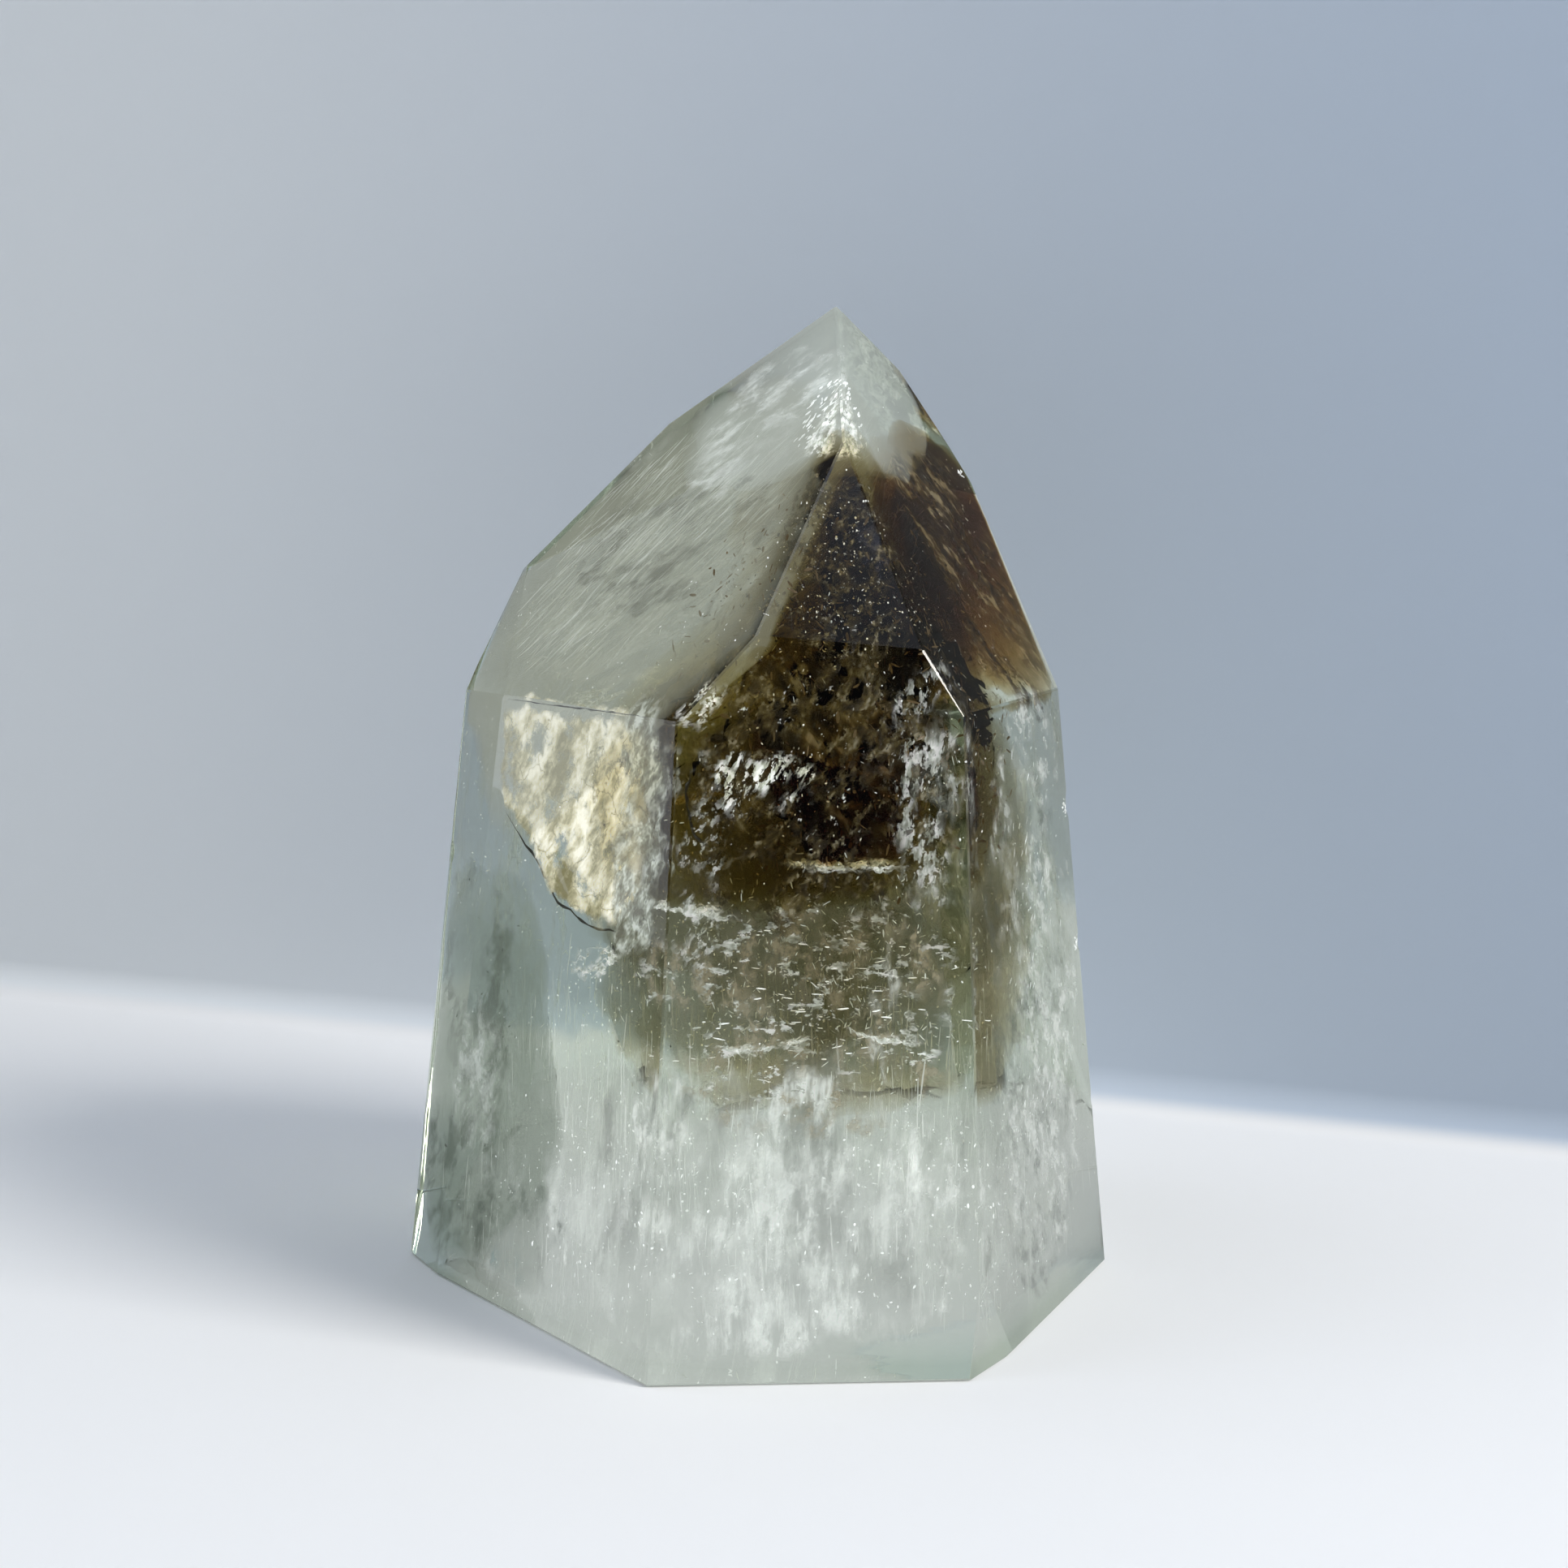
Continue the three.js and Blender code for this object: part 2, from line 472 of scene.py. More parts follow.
def pull_inside(point, margin):
    """The point, moved straight in from any ground face that it is too close to."""
    for _ in range(INWARD_PASSES):
        for normal, offset in PLANES:
            beyond = normal.dot(point) - offset + margin
            if beyond > 0:
                point = point - normal * beyond
    return point


# Flaws


def lumpy_solid(name, centre, radii, swell, swell_size, seed, margin, cuts=()):
    """A closed cloud-like shape round its centre, kept inside the crystal and behind each cut.

    A cut is a plane's outward direction and a point on it.
    """
    bm = bmesh.new()
    bmesh.ops.create_icosphere(bm, subdivisions=LUMP_SUBDIVISIONS, radius=1)
    shift = Vector((seed, seed * 1.7, seed * 2.3))
    limits = [(normal, offset - margin) for normal, offset in PLANES]
    for direction, point in cuts:
        normal = Vector(direction).normalized()
        limits.append((normal, normal.dot(point)))
    for vert in bm.verts:
        place = Vector(a * b for a, b in zip(vert.co, radii))
        reach = place.length
        way = place / reach
        reach *= 1 + swell * noise.fractal(place / swell_size + shift, 1.0, 2.0, LUMP_OCTAVES)
        for normal, offset in limits:
            closing = normal.dot(way)
            if closing > 0:
                reach = min(reach, (offset - normal.dot(centre)) / closing)
        vert.co = centre + way * reach
    thing = object_of(name, mesh_of(bm))
    thing.data.shade_smooth()
    return thing


def inside_outline(u, v, outline):
    """How far a flat point is inside a closed outline; negative outside."""
    inside = False
    nearest = 1.0
    for (ax, ay), (bx, by) in zip(outline, outline[1:] + outline[:1]):
        if (ay > v) != (by > v) and u < (bx - ax) * (v - ay) / (by - ay) + ax:
            inside = not inside
        length = (bx - ax) ** 2 + (by - ay) ** 2
        along = max(0.0, min(1.0, ((u - ax) * (bx - ax) + (v - ay) * (by - ay)) / length))
        nearest = min(nearest, math.hypot(u - ax - along * (bx - ax), v - ay - along * (by - ay)))
    return nearest if inside else -nearest


def oval(width, height, corners=28):
    """A rounded-square outline, centred."""
    outline = []
    for step in range(corners):
        turn = math.tau * step / corners
        cos, sin = math.cos(turn), math.sin(turn)
        reach = (abs(cos) ** 3 + abs(sin) ** 3) ** (-1 / 3)
        outline.append((width / 2 * reach * cos, height / 2 * reach * sin))
    return outline


def ragged_sheet(name, centre, directions, outline, shape, seed):
    """A thin broken sheet with a ragged rim, along its own right and up.

    The shape is its folds and its crumples, each as (depth, size), how ragged it is, and its cell's size.
    """
    right, up = directions
    fold, crumple, ragged, cell = shape
    right = Vector(right).normalized()
    up = (Vector(up) - right * right.dot(Vector(up))).normalized()
    out = right.cross(up)
    shift = Vector((seed * 3.1, seed * 1.3, seed * 0.7))
    low = [min(point[k] for point in outline) - 2 * ragged for k in (0, 1)]
    high = [max(point[k] for point in outline) + 2 * ragged for k in (0, 1)]
    counts = [int(round((high[k] - low[k]) / cell)) for k in (0, 1)]
    bm = bmesh.new()
    rim_layer = bm.verts.layers.float.new("rim")
    grid = {}
    for i in range(counts[0] + 1):
        for j in range(counts[1] + 1):
            u = low[0] + i * cell
            v = low[1] + j * cell
            flat = right * u + up * v
            depth = inside_outline(u, v, outline)
            depth += ragged * noise.fractal(Vector((u, v, 0)) / RAG_SIZE + shift, 0.8, 2.1, 5)
            if depth < 0:
                continue
            bend = fold[0] * noise.noise(flat / fold[1] + shift)
            facets = noise.ridged_multi_fractal(flat / crumple[1] + shift, 0.9, 2.0, 3, 1.0, 2.0)
            place = Vector(centre) + flat + out * (bend + crumple[0] * (facets - 1))
            depth = min(depth, room_at(place) - SHEET_MARGIN)
            if depth < 0:
                continue
            vert = bm.verts.new(place)
            vert[rim_layer] = min(1.0, depth / RIM_WIDTH)
            grid[i, j] = vert
    for (i, j), vert in grid.items():
        corners = [grid.get(key) for key in ((i, j), (i + 1, j), (i + 1, j + 1), (i, j + 1))]
        if all(corners):
            bm.faces.new(corners)
    loose = [vert for vert in bm.verts if not vert.link_faces]
    bmesh.ops.delete(bm, geom=loose, context="VERTS")
    return object_of(name, mesh_of(bm))


def crack_line(name, points, thickness, seed, wander=0.25 * MM):
    """A thin dark crack seen edge on: a ribbon of three sides that follows the points, jagged."""
    bm = bmesh.new()
    rings = []
    fine = []
    for start, end in zip(points, points[1:]):
        for step in range(CRACK_STEPS):
            fine.append(start.lerp(end, step / CRACK_STEPS))
    fine.append(points[-1])
    for index, point in enumerate(fine):
        jag = noise.noise_vector(point / CRACK_JAG_SIZE + Vector((seed, 0, 0))) * wander
        swell = abs(noise.noise(point / CRACK_WIDTH_WAVE + Vector((0, seed, 0))))
        width = thickness * (0.35 + swell * 1.6)
        width *= min(1.0, 0.2 + 4 * min(index, len(fine) - 1 - index) / len(fine))
        ring = []
        for side in range(CRACK_SIDES):
            turn = math.tau * side / CRACK_SIDES
            offset = Vector((math.cos(turn), 0.5 * math.cos(turn), math.sin(turn))) * width
            ring.append(bm.verts.new(pull_inside(point + jag + offset, SHEET_MARGIN)))
        rings.append(ring)
    for near, far in zip(rings, rings[1:]):
        for side in range(CRACK_SIDES):
            after = (side + 1) % CRACK_SIDES
            bm.faces.new((near[side], near[after], far[after], far[side]))
    bm.faces.new(rings[0][::-1])
    bm.faces.new(rings[-1])
    bmesh.ops.recalc_face_normals(bm, faces=bm.faces)
    return object_of(name, mesh_of(bm))


FLAKE_INPUTS = (
    ("Count", "Int", 100),
    ("Centre", "Vector", (0, 0, 0)),
    ("Radii", "Vector", (0.01, 0.01, 0.01)),
    ("Lie", "Vector", (0, 0, 0)),
    ("Clump Size", "Float", 0.004),
    ("Gaps", "Float", 0.0),
    ("Smallest", "Vector", (0.0001, 0.0001, 0.0001)),
    ("Largest", "Vector", (0.0003, 0.0003, 0.0003)),
    ("Turn", "Vector", (0, 0, 0)),
    ("Turn Spread", "Vector", (3.1, 3.1, 3.1)),
    ("Tear", "Float", FLAKE_TEAR_DEPTH),
    ("Margin", "Float", 0.0003),
    ("Seed", "Int", 0),
    ("Crystal", "Object", None),
    ("Material", "Material", None),
)


def flake_tree():
    """Flakes scattered through an ellipsoid, in clumps, and only inside the crystal."""
    tree = bpy.data.node_groups.new("scattered_flakes", "GeometryNodeTree")
    tree.interface.new_socket("Flakes", in_out="OUTPUT", socket_type="NodeSocketGeometry")
    for name, kind, value in FLAKE_INPUTS:
        socket = tree.interface.new_socket(name, in_out="INPUT", socket_type="NodeSocket" + kind)
        if value is not None:
            socket.default_value = value
    nodes = Nodes(tree)
    add = nodes.add
    given = add("NodeGroupInput").outputs

    def random_vector(low, high, offset):
        seed = add("ShaderNodeMath", {0: given["Seed"], 1: offset}, operation="ADD").outputs[0]
        inputs = {"Seed": seed, 0: low, 1: high}
        return add("FunctionNodeRandomValue", inputs, data_type="FLOAT_VECTOR").outputs[0]

    def vector(operation, first, second):
        end = "Scale" if operation == "SCALE" else 1
        node = add("ShaderNodeVectorMath", {0: first, end: second}, operation=operation)
        return node.outputs["Value" if operation == "DOT_PRODUCT" else "Vector"]

    def less(value, limit):
        return add("ShaderNodeMath", {0: value, 1: limit}, operation="LESS_THAN").outputs[0]

    def without(things, unwanted):
        inputs = {"Geometry": things, "Selection": unwanted}
        return add("GeometryNodeDeleteGeometry", inputs, domain="POINT").outputs[0]

    way = random_vector((-1, -1, -1), (1, 1, 1), 0)
    towards = add("ShaderNodeVectorMath", {0: way}, operation="NORMALIZE").outputs["Vector"]
    spread = add("FunctionNodeRandomValue", {"Seed": given["Seed"]}, data_type="FLOAT").outputs[1]
    filled = add("ShaderNodeMath", {0: spread, 1: CLOUD_FILLING}, operation="POWER").outputs[0]
    in_lump = vector("MULTIPLY", vector("SCALE", towards, filled), given["Radii"])
    lain = add(
        "ShaderNodeVectorRotate", {"Vector": in_lump, "Rotation": given["Lie"]}, rotation_type="EULER_XYZ",
    )
    place = vector("ADD", lain.outputs["Vector"], given["Centre"])
    points = add("GeometryNodePoints", {"Count": given["Count"], "Position": place}).outputs[0]

    position = add("GeometryNodeInputPosition").outputs[0]
    per_clump = add("ShaderNodeMath", {0: 1.0, 1: given["Clump Size"]}, operation="DIVIDE").outputs[0]
    clumps = add("ShaderNodeTexNoise", {"Vector": position, "Scale": per_clump}).outputs[0]
    gap = less(clumps, given["Gaps"])

    body = add("GeometryNodeObjectInfo", {"Object": given["Crystal"]}).outputs["Geometry"]
    skin = add("GeometryNodeProximity", {0: body}, target_element="FACES").outputs["Position"]
    normal = add("GeometryNodeInputNormal").outputs[0]
    facing = add(
        "GeometryNodeSampleNearestSurface", {"Mesh": body, "Value": normal}, data_type="FLOAT_VECTOR",
    )
    depth = vector("DOT_PRODUCT", vector("SUBTRACT", skin, position), facing.outputs["Value"])
    shallow = less(depth, given["Margin"])
    unwanted = add("FunctionNodeBooleanMath", {0: gap, 1: shallow}, operation="OR").outputs[0]

    flake = add(
        "GeometryNodeMeshCircle", {"Vertices": FLAKE_CORNERS, "Radius": 0.5}, fill_type="TRIANGLE_FAN",
    )
    least_turn = vector("SUBTRACT", given["Turn"], given["Turn Spread"])
    most_turn = vector("ADD", given["Turn"], given["Turn Spread"])
    flakes = add("GeometryNodeInstanceOnPoints", {
        "Points": without(points, unwanted),
        "Instance": flake.outputs["Mesh"],
        "Scale": random_vector(given["Smallest"], given["Largest"], 1),
        "Rotation": random_vector(least_turn, most_turn, 2),
    })
    tones = add("FunctionNodeRandomValue", data_type="FLOAT").outputs[1]
    toned = add(
        "GeometryNodeStoreNamedAttribute", {"Geometry": flakes.outputs[0], "Name": "tone", "Value": tones},
        data_type="FLOAT", domain="INSTANCE",
    )
    real = add("GeometryNodeRealizeInstances", {0: toned.outputs[0]}).outputs[0]

    crumple = add("ShaderNodeTexNoise", {"Vector": position, "Scale": 1 / FLAKE_TEAR_SIZE}).outputs["Color"]
    tear = vector("SCALE", vector("SUBTRACT", crumple, (0.5, 0.5, 0.5)), given["Tear"])
    torn = add("GeometryNodeSetPosition", {"Geometry": real, "Offset": tear}).outputs[0]
    trimmed = without(torn, less(depth, SHEET_MARGIN))
    painted = add("GeometryNodeSetMaterial", {"Geometry": trimmed, "Material": given["Material"]})
    add("NodeGroupOutput", {0: painted.outputs[0]})
    return tree


def scatter_flakes(name, material, **settings):
    """A cloud of flakes as one plain mesh. The settings are the tree's inputs, in its own words."""
    thing = object_of(name, bpy.data.meshes.new(name))
    modifier = thing.modifiers.new("flakes", "NODES")
    modifier.node_group = FLAKE_TREE
    values = {"Material": material, "Crystal": crystal}
    values.update({key.replace("_", " "): value for key, value in settings.items()})
    for socket in FLAKE_TREE.interface.items_tree:
        if socket.in_out == "INPUT" and socket.name in values:
            modifier[socket.identifier] = values[socket.name]
    return finished(thing)


# Stage


def stage_material():
    """Matt paper, white on the floor, and up the wall a soft blue grey of painted shade, deeper on the right.

    The crystal's faces mirror it in painted shade. Seen from behind it is clear, so that it doesn't hide the
    crystal.
    """
    material, nodes, output = new_material("backdrop_paper")
    shader = principled(nodes, output, Roughness=0.9)
    place = nodes.add("ShaderNodeTexCoord").outputs["Object"]
    split = nodes.add("ShaderNodeSeparateXYZ", {"Vector": place}).outputs
    across = step_between(nodes, split["X"], -WALL_SHADE_WIDTH, WALL_SHADE_WIDTH)
    wall = shades(nodes, across, ((0.0, WALL_LIT_COLOUR_LEFT), (1.0, WALL_SHADED_COLOUR_RIGHT)))
    seen = mixed(nodes, step_between(nodes, split["Z"], 0.0, WALL_FADE), linear(FLOOR_COLOUR), wall)
    # Painted shade: rays that the crystal mirrors see the wall darker.
    path = nodes.add("ShaderNodeLightPath").outputs
    mirrored = times(nodes, path["Is Glossy Ray"], path["Is Reflection Ray"])
    reflections_painted_darker = mixed(nodes, mirrored, seen, linear(WALL_SHADE_IN_REFLECTIONS))
    nodes.join(reflections_painted_darker, shader.inputs["Base Color"])
    one_way = nodes.add("ShaderNodeMixShader", {
        "Fac": nodes.add("ShaderNodeNewGeometry").outputs["Backfacing"],
        1: shader.outputs["BSDF"],
        2: nodes.add("ShaderNodeBsdfTransparent").outputs["BSDF"],
    })
    nodes.join(one_way.outputs["Shader"], output.inputs["Surface"])
    material.use_transparent_shadow = False
    return material


def backdrop():
    """Floor and wall in one sheet, joined by a quarter-round sweep."""
    profile = [(FLOOR_FRONT, -FLOOR_GAP)]
    for step in range(SWEEP_STEPS + 1):
        turn = math.pi / 2 * step / SWEEP_STEPS
        away = WALL_START + SWEEP_RADIUS * math.sin(turn)
        up = SWEEP_RADIUS * (1 - math.cos(turn)) - FLOOR_GAP
        profile.append((away, up))
    profile.append((WALL_START + SWEEP_RADIUS, WALL_TOP))
    bm = bmesh.new()
    rows = []
    for away, up in profile:
        left, right = (
            bm.verts.new(Matrix.Rotation(WALL_TURN, 3, "Z") @ Vector((side * STAGE_HALF_WIDTH, away, up)))
            for side in (-1, 1)
        )
        rows.append((left, right))
    for near, far in zip(rows, rows[1:]):
        bm.faces.new((near[0], near[1], far[1], far[0]))
    sheet = object_of("backdrop", mesh_of(bm))
    sheet.data.shade_smooth()
    sheet.data.materials.append(stage_material())


def window_light():
    """The low soft window on the right."""
    light = bpy.data.lights.new("window", "AREA")
    light.shape = "SQUARE"
    light.size = WINDOW_SIZE
    light.energy = WINDOW_WATTS
    light.color = WINDOW_COLOUR
    lamp = bpy.data.objects.new("window", light)
    level = Vector((math.cos(WINDOW_TURN), math.sin(WINDOW_TURN), 0)) * math.cos(WINDOW_RISE)
    towards = level + Vector((0, 0, math.sin(WINDOW_RISE)))
    lamp.location = towards * WINDOW_DISTANCE + Vector((0, 0, WINDOW_AIM_HEIGHT))
    lamp.rotation_euler = towards.to_track_quat("Z", "Y").to_euler()
    bpy.context.scene.collection.objects.link(lamp)


def sky():
    """A pale sky, and the darker room behind the camera."""
    world = bpy.data.worlds.new("sky")
    world.use_nodes = True
    nodes = Nodes(world.node_tree)
    background = world.node_tree.nodes["Background"]
    background.inputs["Strength"].default_value = SKY_STRENGTH
    direction = nodes.add("ShaderNodeTexCoord").outputs["Generated"]
    split = nodes.add("ShaderNodeSeparateXYZ", {"Vector": direction})
    away = step_between(nodes, split.outputs["Y"], *ROOM_REACH)
    nodes.join(mixed(nodes, away, linear(ROOM_COLOUR), linear(SKY_COLOUR)), background.inputs["Color"])
    bpy.context.scene.world = world


def camera():
    """The photograph's viewpoint."""
    data = bpy.data.cameras.new("camera")
    data.sensor_width = SENSOR_MM
    data.lens = LENS_MM
    data.clip_start = NEAREST_SEEN
    data.clip_end = FARTHEST_SEEN
    eye = bpy.data.objects.new("camera", data)
    eye.location = EYE
    eye.rotation_euler = (math.pi / 2 - LOOK_DOWN, 0, 0)
    bpy.context.scene.collection.objects.link(eye)
    bpy.context.scene.camera = eye


def light_paths():
    """Enough bounces for light to find its way through the crystal, and true colours."""
    scene = bpy.context.scene
    scene.view_settings.view_transform = "Standard"
    scene.cycles.max_bounces = MOST_BOUNCES
    scene.cycles.transmission_bounces = MOST_BOUNCES
    scene.cycles.glossy_bounces = MOST_BOUNCES
    scene.cycles.diffuse_bounces = MOST_SCATTERINGS
    scene.cycles.transparent_max_bounces = MOST_CLEAR_LAYERS


# Pieces, each in its own function. Places are in millimetres in the crystal's frame.


def mm(x, y, z):
    """A place or size given in millimetres."""
    return Vector((x, y, z)) * MM


# Borders of the smoky zone, each as an outward direction and a point. The first two are the left edge of
# the point's front face and the slanted edge below it. The smoke goes SMOKE_OVERLAP millimetres past each.
BESIDE_TRIANGLE = ((-0.936, 0.124, 0.331), mm(0.9, -17.5, 51.5))
BESIDE_FRONT = ((-0.628, 0.078, 0.774), mm(0.9, -17.5, 51.5))
UNDER_RIGHT_SMOKE = ((-0.1, 0.35, -1), mm(16, -4, 49.0))
SMOKE_OVERLAP = 1.4


def smoky_zone():
    """The olive-brown growth zone in the front and right of the point, darkest in its middle."""
    parts = (
        # name, centre, radii, tint, density, lowest, margin, lump size, seed, border
        ("smoke_triangle", (6.8, -9.8, 55), (9, 7.6, 12.5), (0.68, 0.60, 0.36), 460.0, 44.0, 0.55, 5, 3.1,
         BESIDE_TRIANGLE),
        ("smoke_front", (1.6, -11.8, 43), (12.5, 8, 15), (0.69, 0.58, 0.14), 270.0, 33.0, 0.64, 5, 4.4,
         BESIDE_FRONT),
        ("smoke_heart", (6.6, -11, 43.5), (5.8, 6.8, 9), (0.70, 0.42, 0.12), 700.0, 35.8, 0.85, 5, 7.7, None),
        ("smoke_right", (14.5, 2.5, 54.5), (11, 14, 12.5), (0.66, 0.50, 0.14), 560.0, 40.0, 0.70, 8, 5.2,
         UNDER_RIGHT_SMOKE),
        ("smoke_fade", (4.5, -8.5, 32), (14, 12, 17), (0.64, 0.57, 0.38), 150.0, 17.0, 1.0, 5, 9.4, None),
    )
    for name, centre, radii, tint, density, lowest, margin, lump_size, seed, border in parts:
        cuts = [((0, 0, -1), mm(0, 0, lowest))]
        if border:
            toward, point = border
            cuts.append((toward, point + mm(*toward) * SMOKE_OVERLAP))
        size, depth = lump_size * MM, margin * MM
        lump = lumpy_solid(name, mm(*centre), mm(*radii), SMOKE_SWELL, size, seed, depth, cuts)
        lump.data.materials.append(smoky_quartz(name, tint, density))
        yield lump


def milky_zone():
    """Cloudy quartz with a painted glow, to the left, at the tip and towards the sawn base."""
    under_left_face = ((0.5985, 0.509, -0.618), mm(-0.5, -0.5, 55))
    smoke_borders = (BESIDE_TRIANGLE, BESIDE_FRONT)
    left_of_smoke = [([-part for part in toward], point) for toward, point in smoke_borders]
    parts = (
        # name, centre, radii, colour, density, margin, seed, cuts
        ("cloud_base", (5, -2, 1), (27, 25, 16), (0.58, 0.61, 0.605), 64.0, 0.40, 4.0, ()),
        ("cloud_left_face", (-9, -3, 54), (18, 18, 22), (0.335, 0.35, 0.285), 150.0, 0.72, 7.1,
         (under_left_face, *left_of_smoke)),
        ("cloud_tip", (3.6, -0.4, 70.5), (12, 10, 9), (0.58, 0.64, 0.62), 130.0, 0.56, 8.6, ()),
        ("cloud_left_foot", (-20, -3, 15), (8, 12, 19), (0.15, 0.19, 0.15), 85.0, 0.78, 5.5, ()),
    )
    for name, centre, radii, colour, density, margin, seed, cuts in parts:
        depth = margin * MM
        lump = lumpy_solid(name, mm(*centre), mm(*radii), CLOUD_SWELL, CLOUD_LUMP_SIZE, seed, depth, cuts)
        lump.data.materials.append(haze(name, colour, density))
        yield lump


# Sheets lie along these faces of the crystal, each given by its own right and up.
FRONT = ((1, 0.045, 0), (0, 0.09, 1))
LEFT_SIDE = ((0.640, -0.768, 0), (0.073, 0.061, 0.991))
RIGHT_SIDE = ((0.452, 0.892, 0), (-0.06, 0.03, 0.998))
LEFT_FACE = ((0.648, -0.76, 0), (0.47, 0.40, 0.786))
RIGHT_FACE = ((0.46, 0.888, 0), (-0.456, 0.236, 0.858))
FRONT_TRIANGLE = ((0.996, 0.092, 0), (-0.05, 0.53, 0.85))
SLANTED_EDGE = ((0.62, 0.05, -0.78), (0.78, 0.11, 0.62))

# How each kind of sheet is folded, crumpled and torn, and how fine it is made.
PLATE_SHAPE = ((0.8 * MM, 5 * MM), (0.3 * MM, 2.2 * MM), 0.7 * MM, 0.2 * MM)
VEIL_SHAPE = ((1.6 * MM, 9 * MM), (0.25 * MM, 1.5 * MM), 1.0 * MM, 0.4 * MM)
CRACKLE_SHAPE = ((0.9 * MM, 4 * MM), (0.3 * MM, 1.2 * MM), 1.0 * MM, 0.3 * MM)
LEVEL_SHAPE = ((0.7 * MM, 3 * MM), (0.4 * MM, 0.9 * MM), 1.2 * MM, 0.15 * MM)


def oval_sheet(name, centre, directions, size, seed, shape, material):
    """A ragged sheet of rounded outline, with its material. Centre and size are in millimetres."""
    outline = oval(size[0] * MM, size[1] * MM)
    sheet = ragged_sheet(name, mm(*centre), directions, outline, shape, seed)
    sheet.data.materials.append(material)
    return sheet


GOLD_CENTRE = mm(-12.3, -9.3, 38.7)
GIRDLE_MIDDLE = mm(-12.7, -11.7, 47.1)
GOLD_FADE = (3.0, 10.5)
GOLD_OUTLINE = (
    (-10.4, 7.7), (0, 7.9), (9.9, 7.9), (11, -1.4), (10, -5.5), (7.8, -7.8),
    (3.5, -8.2), (-1.4, -6.8), (-4.5, -4), (-9.4, -0.8), (-10.8, 3),
)


def on_left_side(u, v):
    """A place on the golden plate, from its own right and up, in millimetres."""
    right, up = (Vector(way) for way in LEFT_SIDE)
    return GOLD_CENTRE + right * u * MM + up * v * MM


def golden_plate():
    """The crumpled golden crack under the upper left side, with the dark line of its lower rim."""
    outline = [(u * MM, v * MM) for u, v in GOLD_OUTLINE]
    plate = ragged_sheet("golden_plate", GOLD_CENTRE, LEFT_SIDE, outline, PLATE_SHAPE, 11)
    across = Vector(LEFT_SIDE[0])
    rims = plate.data.attributes["rim"].data
    for vert, rim in zip(plate.data.vertices, rims):
        along = (vert.co - GOLD_CENTRE).dot(across) / MM
        rim.value *= max(0.12, min(1.0, (GOLD_FADE[1] - along) / (GOLD_FADE[1] - GOLD_FADE[0])))
    plate.data.materials.append(golden_fracture())
    yield plate
    rim = [on_left_side(*GOLD_OUTLINE[k]) for k in (9, 8, 7, 6, 5)]
    line = crack_line("golden_plate_rim", rim, CRACK_THICKNESS, 3.0)
    line.data.materials.append(dark_fleck())
    yield line
    # A painted shadow: a thin dark line just under the girdle above the plate.
    girdle = [GIRDLE_MIDDLE + across * along * MM for along in (-10, -6, -2, 2, 6, 8.5)]
    line = crack_line("girdle_shadow", girdle, 0.05 * MM, 6.0, 0.05 * MM)
    line.data.materials.append(dark_fleck())
    yield line


